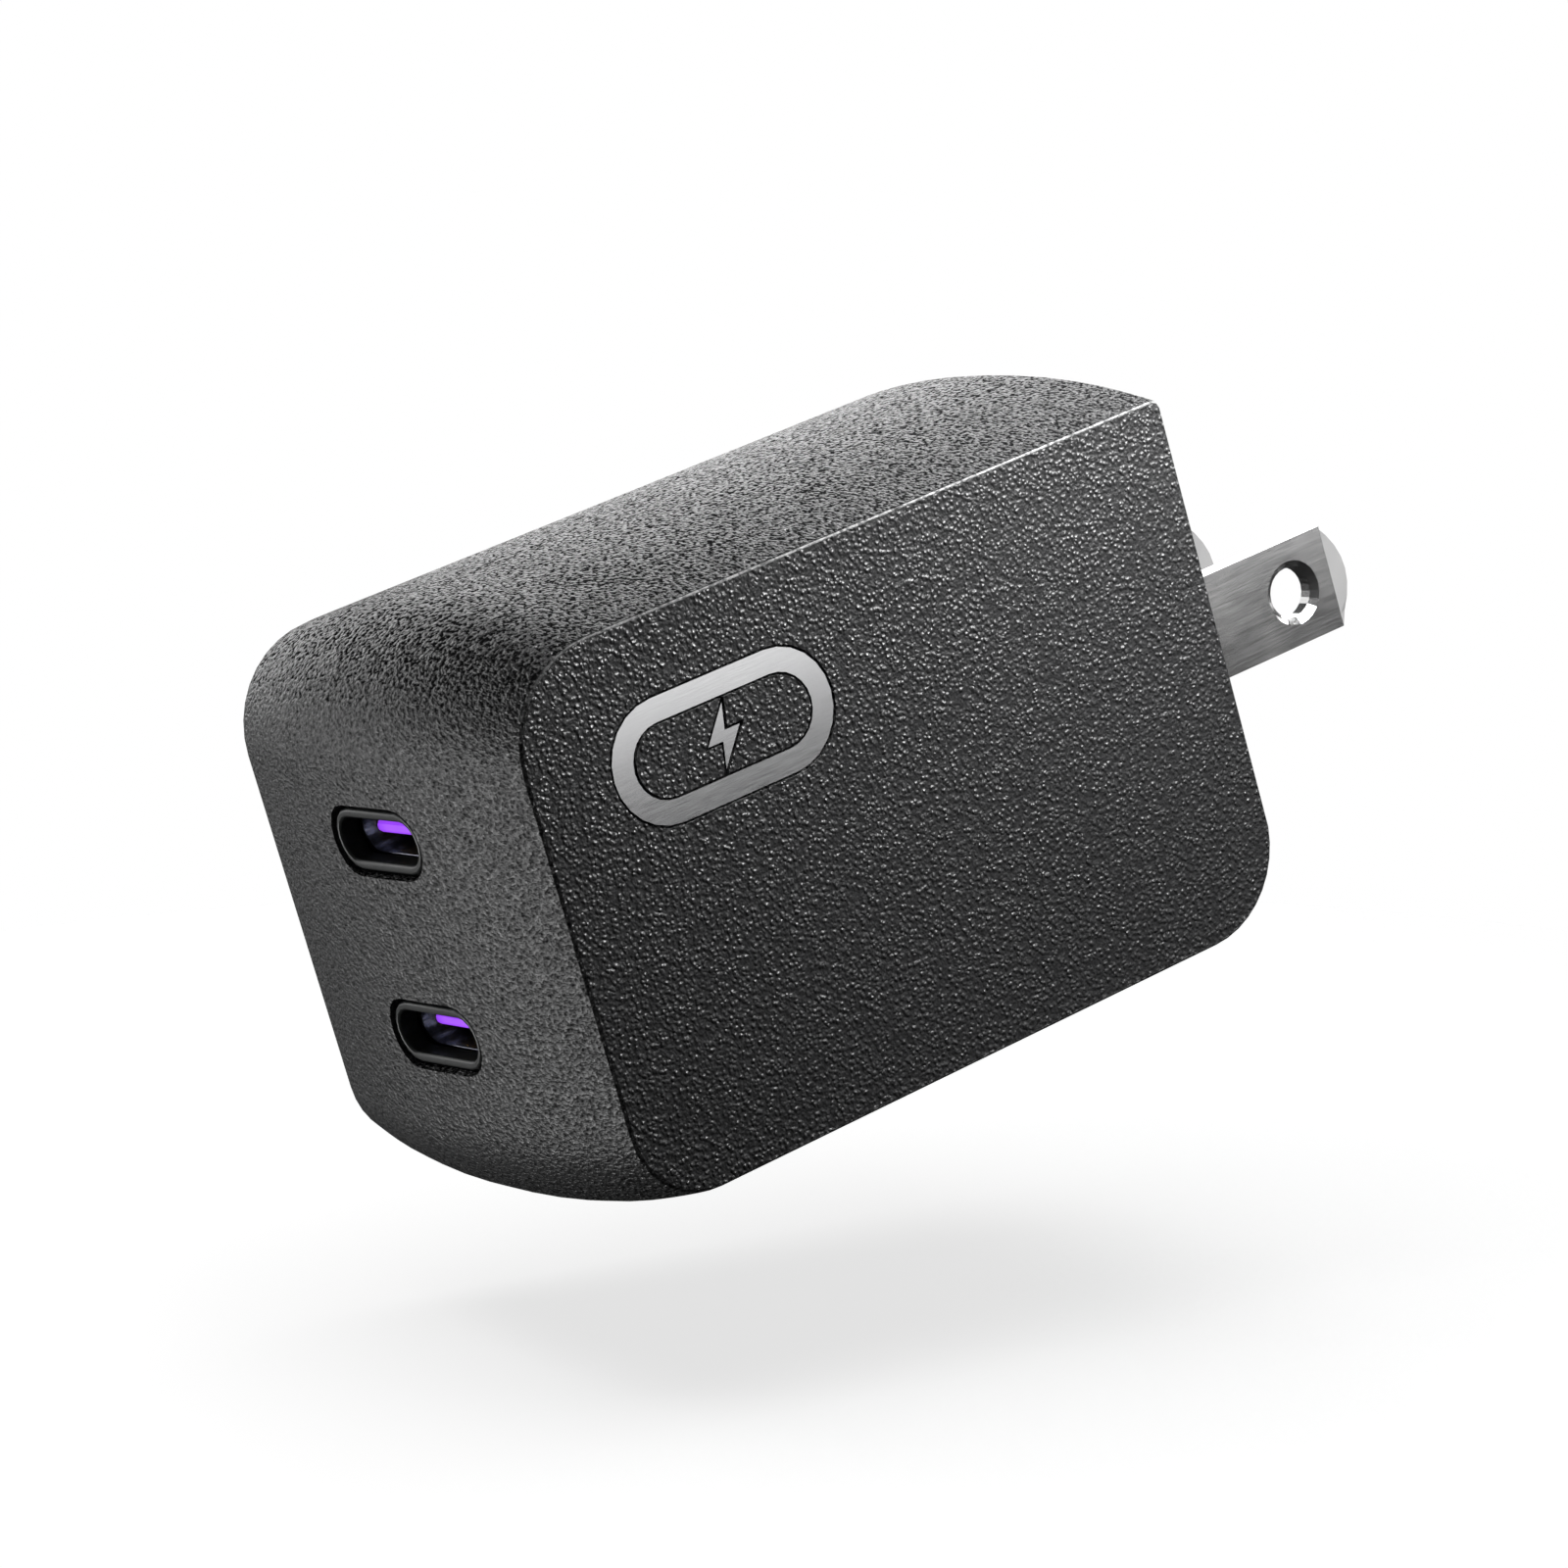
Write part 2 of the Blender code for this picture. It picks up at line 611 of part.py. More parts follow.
def transformer(mats):
    """Two E-shaped ferrite halves around a bobbin and its winding."""
    x0, x1 = -33.4, -19.4
    y0, y1 = -6.4, 2.4
    low, high = PART_BASE, 3.3
    middle = (low + high) / 2
    centre = (x0 + x1) / 2
    plate, leg, core_half = 2.6, 1.9, 2.2
    for name, base, side in (("lower", low, 1), ("upper", high, -1)):
        meet = middle - side * 0.15
        shelf = base + side * plate
        outline = [
            (x0, base),
            (x1, base),
            (x1, meet),
            (x1 - leg, meet),
            (x1 - leg, shelf),
            (centre + core_half, shelf),
            (centre + core_half, meet),
            (centre - core_half, meet),
            (centre - core_half, shelf),
            (x0 + leg, shelf),
            (x0 + leg, meet),
            (x0, meet),
        ]
        make_object(f"{name}_core_half", skin([at_y(outline, y0), at_y(outline, y1)]), mats["ferrite"])
    deep = y1 - y0
    mid = (centre, (y0 + y1) / 2)
    floor, roof = low + plate + GAP, high - plate - GAP

    def sleeve(inner_grow, outer_grow, z):
        inside = rounded(2 * core_half + 2 * inner_grow, deep + 2 * inner_grow, 0.6, 4, mid)
        outside = rounded(2 * core_half + 2 * outer_grow, deep + 2 * outer_grow, 1.2, 4, mid)
        loops = [at_z(inside, z[0]), at_z(outside, z[0]), at_z(outside, z[1]), at_z(inside, z[1])]
        return skin(loops, wrap=True)

    make_object("transformer_bobbin", sleeve(0.3, 0.9, (floor, roof)), mats["bobbin_plastic"])
    make_object("transformer_winding", sleeve(1.2, 2.5, (floor + 0.5, roof - 0.5)), mats["winding_tape"])


def can(mats, name, look, start, end, radius, place):
    """A capacitor can: a crimp groove near its foot and a rounded far edge."""
    run = 1 if end > start else -1
    stations = [
        (start, radius),
        (start + run * 0.9, radius),
        (start + run * 1.3, radius - 0.35),
        (start + run * 1.7, radius),
        (end - run * 0.4, radius),
        (end, radius - 0.4),
    ]
    return make_object(name, turned(stations, place, 20), mats[look])


def capacitors(mats):
    for i, y in enumerate((-8.4, 0.0, 8.4)):

        def lying(points, along, y=y):
            return [Vector((along, y + u, 8.6 + v)) for u, v in points]

        can(mats, f"bulk_capacitor_{i + 1}", "capacitor_sleeve", -15.6, -33.8, 3.95, lying)
    for i, x in enumerate((-32.4, -25.5)):

        def standing(points, along, x=x):
            return [Vector((x + u, 8.8 + v, along)) for u, v in points]

        can(mats, f"output_capacitor_{i + 1}", "polymer_can", PART_BASE, -1.4, 3.15, standing)
    film = soft_box((-18.7, -14.2), (0.0, 12.2), (PART_BASE, -0.7), 0.6)
    make_object("x_capacitor", film, mats["film_box"])

    def upright(points, along):
        return [Vector((-26.4 + u, along, -6.9 + v)) for u, v in points]

    disc = [(-12.1, 2.4), (-11.7, 3.3), (-10.1, 3.3), (-9.7, 2.4)]
    make_object("y_capacitor", turned(disc, upright, 20), mats["disc_blue"])


def choke(mats):
    """A common-mode choke: a ring core stood on edge, with a winding round each half."""
    centre = Vector((-16.6, -6.5, -5.0))
    ring_r, core_half, inner_half, outer_half = 3.9, (1.4, 0.7), (1.7, 1.0), (2.1, 1.4)

    def section(angle, half):
        """A rectangle across the ring at this angle round it."""
        out = Vector((0.0, math.cos(angle), math.sin(angle)))
        corners = ((-1, -1), (1, -1), (1, 1), (-1, 1))
        return [centre + out * (ring_r + v * half[1]) + Vector((u * half[0], 0, 0)) for u, v in corners]

    turns = [2 * math.pi * i / 24 for i in range(24)]
    core = skin([section(angle, core_half) for angle in turns], wrap=True)
    make_object("choke_core", core, mats["ferrite"])
    for name, start in (("upper", 15.0), ("lower", 195.0)):
        angles = [math.radians(start + 150.0 * i / 12) for i in range(13)]
        loops = [section(angle, outer_half) for angle in angles]
        loops += [section(angle, inner_half) for angle in reversed(angles)]
        make_object(f"choke_{name}_winding", skin(loops, wrap=True), mats["copper_wire"])


def small_parts(mats):
    """The fuse and the packages, each a short gap clear of the board that carries it."""

    def across(points, along):
        return [Vector((-12.6 + u, along, -9.2 + v)) for u, v in points]

    half = [(3.4, 1.15), (3.6, 1.3), (4.7, 1.3), (5.0, 1.1)]
    fuse = [(-along, radius) for along, radius in reversed(half)] + half
    make_object("fuse", turned(fuse, across, 16), mats["fuse_sleeve"])
    under = (MAIN_TOP - BOARD_T - GAP - 0.9, MAIN_TOP - BOARD_T - GAP)
    behind = (PORT_BOARD_X[1] + GAP, PORT_BOARD_X[1] + GAP + 2.2)
    before = (PORT_BOARD_X[0] - GAP - 0.9, PORT_BOARD_X[0] - GAP)
    packages = {
        "bridge_rectifier": ("chip_epoxy", (-22.1, -20.1), (5.8, 12.0), (PART_BASE, -2.4)),
        "gan_switch": ("chip_epoxy", (-24.0, -18.0), (-3.0, 3.0), under),
        "rectifier_switch": ("chip_epoxy", (-34.0, -29.0), (2.0, 8.0), under),
        "optocoupler": ("chip_epoxy", (-29.0, -25.0), (-9.0, -4.4), under),
        "power_controller": ("chip_epoxy", before, (-2.5, 2.5), (-2.5, 2.5)),
        "upper_output_inductor": ("ferrite", behind, (-3.4, 3.4), (4.4, 10.8)),
        "lower_output_inductor": ("ferrite", behind, (-3.4, 3.4), (-8.6, -2.2)),
        "near_heat_plate": ("heat_plate", (-35.0, -12.0), (-13.3, -12.8), (-10.5, 11.8)),
        "far_heat_plate": ("heat_plate", (-35.0, -12.0), (12.8, 13.3), (-10.5, 11.8)),
        "insulating_sheet": ("sheet_film", (-34.0, -15.0), (-12.2, 12.2), (3.7, 4.0)),
    }
    for name, (look, x, y, z) in packages.items():
        make_object(name, box(x, y, z), mats[look])


# --- Assembly -------------------------------------------------------------------------------


def build():
    for obj in list(bpy.data.objects):
        bpy.data.objects.remove(obj)
    mats = make_materials()
    hinge = hinge_empty()
    case_shell(mats)
    back_cover(mats)
    badge(mats)
    for name, z in (("upper", PORT_Z), ("lower", -PORT_Z)):
        port_bezel(mats, name, z)
        usb_shell(mats, name, z)
        usb_tongue(mats, name, z)
    for name, side in (("near", -1), ("far", 1)):
        plug_blade(mats, name, side * BLADE_PITCH / 2, hinge)
        blade_hub(mats, name, side * BLADE_PITCH / 2, hinge)
        contact_spring(mats, name, side)
    pivot_shaft(mats, hinge)
    detent_spring(mats)
    plug_holder(mats)
    boards(mats)
    transformer(mats)
    capacitors(mats)
    choke(mats)
    small_parts(mats)


build()
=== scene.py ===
"""Looks of the folding two-port USB wall charger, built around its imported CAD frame."""

import math

import bmesh
import bpy
from mathutils import Matrix, Vector


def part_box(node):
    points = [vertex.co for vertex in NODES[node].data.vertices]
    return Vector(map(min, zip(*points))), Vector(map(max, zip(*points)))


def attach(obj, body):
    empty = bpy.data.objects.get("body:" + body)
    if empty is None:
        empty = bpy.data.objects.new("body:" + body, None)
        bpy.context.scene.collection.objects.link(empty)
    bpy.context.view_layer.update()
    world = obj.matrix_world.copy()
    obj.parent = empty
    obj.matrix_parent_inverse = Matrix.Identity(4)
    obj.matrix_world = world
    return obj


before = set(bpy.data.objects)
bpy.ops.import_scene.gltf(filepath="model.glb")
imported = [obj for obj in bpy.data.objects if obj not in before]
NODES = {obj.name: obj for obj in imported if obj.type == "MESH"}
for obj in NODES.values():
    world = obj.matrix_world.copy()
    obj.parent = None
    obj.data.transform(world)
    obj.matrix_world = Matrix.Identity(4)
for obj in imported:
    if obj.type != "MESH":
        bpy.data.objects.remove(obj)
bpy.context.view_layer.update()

MM = 0.001

# Camera, in the part's own frame
TARGET = Vector((-21.25, 0.0, -0.6)) * MM
CAMERA_DISTANCE = 315.4 * MM
CAMERA_AZIMUTH = math.radians(-31.3)
CAMERA_ELEVATION = math.radians(13.36)
CAMERA_ROLL = math.radians(15.94)
SENSOR = 36.0
LENS = 126.04
CLIP_NEAR = 0.01
CLIP_FAR = 10.0

# Floor disc, and how much of its white is its own glow
FLOOR_DROP = 30.5 * MM
FLOOR_RADIUS = 115.0 * MM
FLOOR_TILT = math.radians(11.0)
FLOOR_GLOW = 0.74
FLOOR_SIDES = 96

# Room light from below and from above
ROOM_LOW = 0.016
ROOM_HIGH = 0.050

# Softboxes: name, azimuth, elevation, watts, distance and side in mm, about the camera's own axes
SOFTBOXES = (
    ("rim_light", 0, 20, 0.30, 350, 150),
    ("rim_high", 0, 42, 0.05, 350, 150),
    ("rim_left", 330, 20, 0.23, 350, 150),
    ("left_back", 300, 20, 0.10, 350, 150),
    ("left_low", 300, 0, 0.11, 350, 150),
    ("left_under", 270, -25, 0.58, 350, 150),
    ("right_low", 90, 0, 0.003, 350, 150),
    ("right_high", 90, 20, 0.003, 350, 150),
    ("near_glow", 115, 43, 0.150, 76, 40),
    ("edge_light", 113, 70, 0.20, 350, 90),
)
# In front of the badge side: the line of its lower edge, which the badge mirrors, and its size in mm
SIDE_PANEL_EDGE = ((21.6, -107.6, -10.7), (76.6, -92.7, -19.0))
SIDE_PANEL_SIZE = (130.0, 40.0)
SIDE_PANEL_WATTS = 0.023
# Panels that only the blades mirror: name, place in mm, direction, size in mm, watts
BLADE_PANELS = (
    ("blade_flat_light", (72.0, -90.0, 6.0), (0.5, -0.85, 0.0), (60.0, 40.0), 0.0065),
    ("blade_end_light", (250.0, -60.0, -65.0), (0.95, -0.22, -0.24), (260.0, 260.0), 0.16),
)
# Overhead, for the soft shadow: side, distance along the floor's normal and shift to the left, in mm
TOP_LIGHT_WATTS = 0.98
TOP_LIGHT_SIZE = 540.0
TOP_LIGHT_DISTANCE = 500.0
TOP_LIGHT_SHIFT = 95.0

# Case surface: the two side faces are pebbled, the band round them is sandy
EDGE_START_Y = (15.29 * MM, 15.33 * MM)
SIDE_FACE_Y = (15.41 * MM, 15.44 * MM)
PEBBLE = 0.29 * MM
SAND = 0.21 * MM
SAND_HEIGHT = 7.0
GRAIN_DEPTH = 0.07 * MM

# Ports: over which depth the tongues' painted glow fades out and their painted shade sets in
PAINTED_GLOW_AND_SHADE_X = (-45.2 * MM, -43.6 * MM)

# Gold contacts on both faces of each tongue
CONTACTS_PER_FACE = 12
CONTACT_PITCH = 0.5 * MM
CONTACT_WIDTH = 0.26 * MM
CONTACT_RISE = 0.06 * MM
CONTACT_SPAN = (0.55 * MM, 4.3 * MM)
CONTACT_EDGE = 0.02 * MM
TONGUE_HALF = 0.35 * MM

# Finish of the CAD meshes: edges flatter than these angles are smoothed, and some edges are rounded
SMOOTH_BELOW = 32.0
CRISP_BELOW = 9.0
WELD_REACH = 0.002 * MM
ROUNDED_EDGES = {
    "port_bezel": 0.04 * MM,
    "usb_shell": 0.05 * MM,
}

# Blender's wave texture at scale 1 repeats after this length
WAVE_LENGTH = math.pi / 10


# --- Small helpers for node trees -------------------------------------------------------------


class Tree:
    """Builds one material's node tree."""

    def __init__(self, name):
        self.material = bpy.data.materials.new(name)
        self.material.use_nodes = True
        self.nodes = self.material.node_tree.nodes
        self.links = self.material.node_tree.links
        self.shader = self.nodes["Principled BSDF"]
        coordinates = self.nodes.new("ShaderNodeTexCoord")
        self.place = coordinates.outputs["Object"]

    def add(self, kind, settings=None, **inputs):
        node = self.nodes.new(kind)
        for key, value in (settings or {}).items():
            setattr(node, key, value)
        for key, value in inputs.items():
            self.feed(node.inputs[key.replace("_", " ")], value)
        return node

    def feed(self, socket, value):
        if isinstance(value, bpy.types.NodeSocket):
            self.links.new(value, socket)
        else:
            socket.default_value = value

    def math(self, operation, a, b=0.0):
        node = self.nodes.new("ShaderNodeMath")
        node.operation = operation
        self.feed(node.inputs[0], a)
        self.feed(node.inputs[1], b)
        return node.outputs[0]

    def stretched(self, scale):
        """The object coordinates, scaled along each axis."""
        node = self.nodes.new("ShaderNodeMapping")
        self.links.new(self.place, node.inputs["Vector"])
        node.inputs["Scale"].default_value = scale
        return node.outputs[0]

    def noise(self, size, detail=2.0, rough=0.5, place=None):
        node = self.add("ShaderNodeTexNoise", None, Vector=place or self.place)
        node.inputs["Scale"].default_value = 1.0 / size
        node.inputs["Detail"].default_value = detail
        node.inputs["Roughness"].default_value = rough
        return node.outputs["Fac"]

    def cells(self, size, place, smooth):
        node = self.add("ShaderNodeTexVoronoi", {"feature": "SMOOTH_F1"}, Vector=place)
        node.inputs["Scale"].default_value = 1.0 / size
        node.inputs["Smoothness"].default_value = smooth
        return node.outputs["Distance"]

    def remap(self, value, low, high, to_low=0.0, to_high=1.0, smooth=False):
        node = self.nodes.new("ShaderNodeMapRange")
        node.interpolation_type = "SMOOTHSTEP" if smooth else "LINEAR"
        for key, number in (("Value", value), ("From Min", low), ("From Max", high)):
            self.feed(node.inputs[key], number)
        self.feed(node.inputs["To Min"], to_low)
        self.feed(node.inputs["To Max"], to_high)
        return node.outputs["Result"]

    def blend(self, factor, a, b):
        """A number between a and b."""
        node = self.nodes.new("ShaderNodeMix")
        node.data_type = "FLOAT"
        self.feed(node.inputs[0], factor)
        self.feed(node.inputs[2], a)
        self.feed(node.inputs[3], b)
        return node.outputs[0]

    def tint(self, factor, a, b):
        """A colour between a and b."""
        node = self.nodes.new("ShaderNodeMix")
        node.data_type = "RGBA"
        self.feed(node.inputs[0], factor)
        for socket, value in ((node.inputs[6], a), (node.inputs[7], b)):
            self.feed(socket, value if isinstance(value, bpy.types.NodeSocket) else (*value, 1.0))
        return node.outputs[2]

    def axis(self, name):
        node = self.add("ShaderNodeSeparateXYZ", None, Vector=self.place)
        return node.outputs[name]

    def relief(self, height, depth):
        node = self.nodes.new("ShaderNodeBump")
        node.inputs["Strength"].default_value = 1.0
        node.inputs["Distance"].default_value = depth
        self.links.new(height, node.inputs["Height"])
        self.links.new(node.outputs["Normal"], self.shader.inputs["Normal"])

    def set(self, **values):
        for key, value in values.items():
            name = key.replace("_", " ")
            if isinstance(value, tuple) and len(value) == 3:
                value = (*value, 1.0)
            self.feed(self.shader.inputs[name], value)
        return self


# --- Materials --------------------------------------------------------------------------------


def case_plastic():
    """Charcoal plastic: a pebbled grain on the flat side faces, a sandy one on the band round them.
    The broken upper edges between the two have calmer grain and a pale painted highlight."""
    t = Tree("charcoal_plastic")
    # Where the side faces are, and the upper edges that carry a painted highlight
    across = t.math("ABSOLUTE", t.axis("Y"))
    side = t.remap(across, *SIDE_FACE_Y)
    geometry = t.add("ShaderNodeNewGeometry")
    facing = t.add("ShaderNodeSeparateXYZ", None, Vector=geometry.outputs["True Normal"])
    # A pale strip on the upward broken edges: a painted highlight, with calmer grain under it
    painted_edge_highlight = t.math("MULTIPLY", t.remap(across, *EDGE_START_Y), t.math("SUBTRACT", 1.0, side))
    painted_edge_highlight = t.math("MULTIPLY", painted_edge_highlight, t.remap(facing.outputs["Z"], 0.2, 0.6))
    # Pebbles: round cells, bent out of line, with some grit on them
    wander = t.add("ShaderNodeTexNoise", None, Vector=t.place)
    wander.inputs["Scale"].default_value = 1.0 / (1.6 * PEBBLE)
    bend = t.add("ShaderNodeVectorMath", {"operation": "SCALE"})
    t.links.new(wander.outputs["Color"], bend.inputs[0])
    bend.inputs["Scale"].default_value = 0.55 * PEBBLE
    bent = t.add("ShaderNodeVectorMath", {"operation": "ADD"})
    t.links.new(t.place, bent.inputs[0])
    t.links.new(bend.outputs[0], bent.inputs[1])
    pebble = t.remap(t.cells(PEBBLE, bent.outputs[0], 0.3), 0.0, 0.7, 1.0, 0.0, smooth=True)
    grit = t.noise(0.9 * PEBBLE, 1.5)
    coarse = t.math("ADD", t.math("MULTIPLY", pebble, 0.9), t.math("MULTIPLY", grit, 1.4))
    # Sand, calmer on the two ends and on the walls of the slots than on the top and the bottom
    sand = t.noise(SAND, 1.0, 0.5, t.stretched((1.0, 0.65, 1.0)))
    steep = t.math("ABSOLUTE", facing.outputs["Y"])
    steep = t.math("MAXIMUM", t.math("ABSOLUTE", facing.outputs["X"]), steep)
    calm = t.remap(steep, 0.35, 0.9, 1.0, 0.28)
    sand = t.blend(calm, 0.5, sand)
    height = t.blend(side, t.math("MULTIPLY", sand, SAND_HEIGHT), coarse)
    height = t.blend(painted_edge_highlight, height, t.math("MULTIPLY", sand, 0.4))
    t.relief(height, GRAIN_DEPTH)
    # The crests are painted paler, as painted glints, and the hollows darker, as painted shade; the
    # crests are also shinier
    cloud = t.noise(9.0 * MM, 2.0)
    crest = t.blend(side, t.remap(sand, 0.42, 0.60), t.remap(coarse, 0.7, 1.5))
    base = t.tint(cloud, (0.014, 0.014, 0.0145), (0.018, 0.018, 0.0185))
    # Painted glints and shade: paler colour on the grain's crests, darker in its hollows
    base = t.tint(t.math("MULTIPLY", crest, t.blend(side, 0.9, 0.15)), base, (0.062, 0.062, 0.063))
    # Painted highlight: the upward edge strip is tinted pale
    base = t.tint(t.math("MULTIPLY", painted_edge_highlight, t.remap(sand, 0.3, 0.6)), base, (0.17, 0.17, 0.17))
    rough = t.blend(side, t.remap(crest, 0.0, 1.0, 0.5, 0.38), t.remap(crest, 0.0, 1.0, 0.46, 0.33))
    shine = t.blend(side, t.remap(crest, 0.0, 1.0, 0.0, 1.0), t.remap(crest, 0.0, 1.0, 0.18, 0.68))
    t.set(Base_Color=base, Roughness=rough, Specular_IOR_Level=shine, IOR=1.5)
    return t.material


def plain(name, low, high, rough, grain, depth, metallic):
    """A surface with colour, roughness and relief that wander over the given grain size."""
    t = Tree(name)
    cloud = t.noise(grain * 8.0, 2.0)
    fleck = t.noise(grain, 3.0, 0.6)
    mixed = t.math("ADD", t.math("MULTIPLY", cloud, 0.6), t.math("MULTIPLY", fleck, 0.4))
    t.set(Base_Color=t.tint(t.remap(mixed, 0.3, 0.7), low, high), Metallic=metallic)
    t.set(Roughness=t.remap(fleck, 0.25, 0.75, rough * 0.85, rough * 1.15))
    t.relief(fleck, depth)
    return t.material


def nickel():
    """Nickel-plated brass, drawn along the blade, with faint marks of use."""
    t = Tree("nickel_plate")
    streak = t.noise(0.12 * MM, 3.0, 0.6, t.stretched((0.035, 1.0, 1.0)))
    cloud = t.noise(3.0 * MM, 2.0)
    t.set(Base_Color=t.tint(cloud, (0.60, 0.60, 0.605), (0.68, 0.675, 0.67)), Metallic=1.0)
    t.set(Roughness=t.remap(t.math("ADD", streak, t.math("MULTIPLY", cloud, 0.5)), 0.4, 1.1, 0.16, 0.27))
    t.relief(streak, 0.0012 * MM)
    return t.material


def badge_metal():
    """Satin silver inlay with a very fine straight grain."""
    t = Tree("badge_metal")
    streak = t.noise(0.09 * MM, 2.0, 0.5, t.stretched((0.05, 1.0, 1.0)))
    cloud = t.noise(4.0 * MM, 1.0)
    t.set(Base_Color=t.tint(cloud, (0.62, 0.62, 0.63), (0.68, 0.68, 0.685)), Metallic=1.0)
    t.set(Roughness=t.remap(streak, 0.3, 0.7, 0.17, 0.23))
    t.relief(streak, 0.0005 * MM)
    return t.material


def shell_steel():
    """Drawn stainless steel with a cold tint and fine lines along the depth of the port."""
    t = Tree("stainless")
    streak = t.noise(0.10 * MM, 2.0, 0.6, t.stretched((0.06, 1.0, 1.0)))
    cloud = t.noise(1.5 * MM, 2.0)
    t.set(Base_Color=t.tint(cloud, (0.56, 0.57, 0.68), (0.68, 0.69, 0.80)), Metallic=1.0)
    t.set(Roughness=t.remap(streak, 0.3, 0.7, 0.14, 0.26))
    t.relief(streak, 0.001 * MM)
    return t.material


def tongue_violet():
    """Saturated violet moulding with a painted glow at its tip and painted shade, a darker colour,
    deeper in the port.
    """
    t = Tree("violet_plastic")
    cloud = t.noise(1.2 * MM, 2.0)
    fleck = t.noise(0.12 * MM, 2.0)
    # Painted shade deeper in the port, and the painted glow fading there
    painted_shade_depth = t.remap(t.axis("X"), *PAINTED_GLOW_AND_SHADE_X)
    colour = t.tint(cloud, (0.28, 0.045, 0.86), (0.36, 0.07, 1.0))
    t.set(Base_Color=t.tint(painted_shade_depth, colour, (0.02, 0.012, 0.05)))
    t.set(Roughness=t.remap(fleck, 0.3, 0.7, 0.38, 0.5))
    # Painted glow: the tongue's tip emits light, though it is no lamp
    t.set(Emission_Color=colour, Emission_Strength=t.remap(painted_shade_depth, 0.0, 1.0, 0.75, 0.0))
    t.relief(fleck, 0.004 * MM)
    return t.material


def banded(name, low, high, rough, pitch, depth, metallic):
    """Turns of wire or tape lying side by side."""
    t = Tree(name)
    wave = t.add("ShaderNodeTexWave", {"wave_type": "BANDS", "bands_direction": "Z"}, Vector=t.place)
    wave.inputs["Scale"].default_value = WAVE_LENGTH / pitch
    wave.inputs["Distortion"].default_value = 0.4
    wave.inputs["Detail"].default_value = 1.0
    band = wave.outputs["Fac"]
    cloud = t.noise(1.4 * MM, 2.0)
    t.set(Base_Color=t.tint(t.blend(0.5, band, cloud), low, high), Metallic=metallic)
    t.set(Roughness=t.remap(band, 0.0, 1.0, rough * 1.2, rough * 0.8))
    t.relief(band, depth)
    return t.material


def board():
    """Green solder mask over copper tracks."""
    t = Tree("board_green")
    track = t.add("ShaderNodeTexBrick", None, Vector=t.place)
    track.inputs["Scale"].default_value = 1.0 / (2.4 * MM)
    track.inputs["Mortar Size"].default_value = 0.05
    cloud = t.noise(2.0 * MM, 3.0)
    mask = t.tint(cloud, (0.008, 0.075, 0.028), (0.012, 0.11, 0.045))
    t.set(Base_Color=t.tint(track.outputs["Fac"], mask, (0.05, 0.19, 0.07)))
    t.set(Roughness=t.remap(cloud, 0.3, 0.7, 0.3, 0.42))
    t.relief(track.outputs["Fac"], 0.02 * MM)
    return t.material


def bezel_satin():
    """Dark satin plastic with a very light moulded texture."""
    t = Tree("bezel_plastic")
    fleck = t.noise(0.11 * MM, 2.0, 0.6)
    cloud = t.noise(2.0 * MM, 1.0)
    t.set(Base_Color=t.tint(cloud, (0.030, 0.032, 0.032), (0.042, 0.045, 0.044)))
    t.set(Roughness=t.remap(fleck, 0.3, 0.7, 0.27, 0.38), IOR=1.5)
    t.relief(fleck, 0.004 * MM)
    return t.material


def gold():
    """Gold plating on the port contacts."""
    t = Tree("contact_gold")
    fleck = t.noise(0.08 * MM, 2.0, 0.6, t.stretched((0.2, 1.0, 1.0)))
    t.set(Base_Color=t.tint(fleck, (0.62, 0.40, 0.12), (0.78, 0.55, 0.22)), Metallic=1.0)
    t.set(Roughness=t.remap(fleck, 0.3, 0.7, 0.2, 0.34))
    t.relief(fleck, 0.001 * MM)
    return t.material


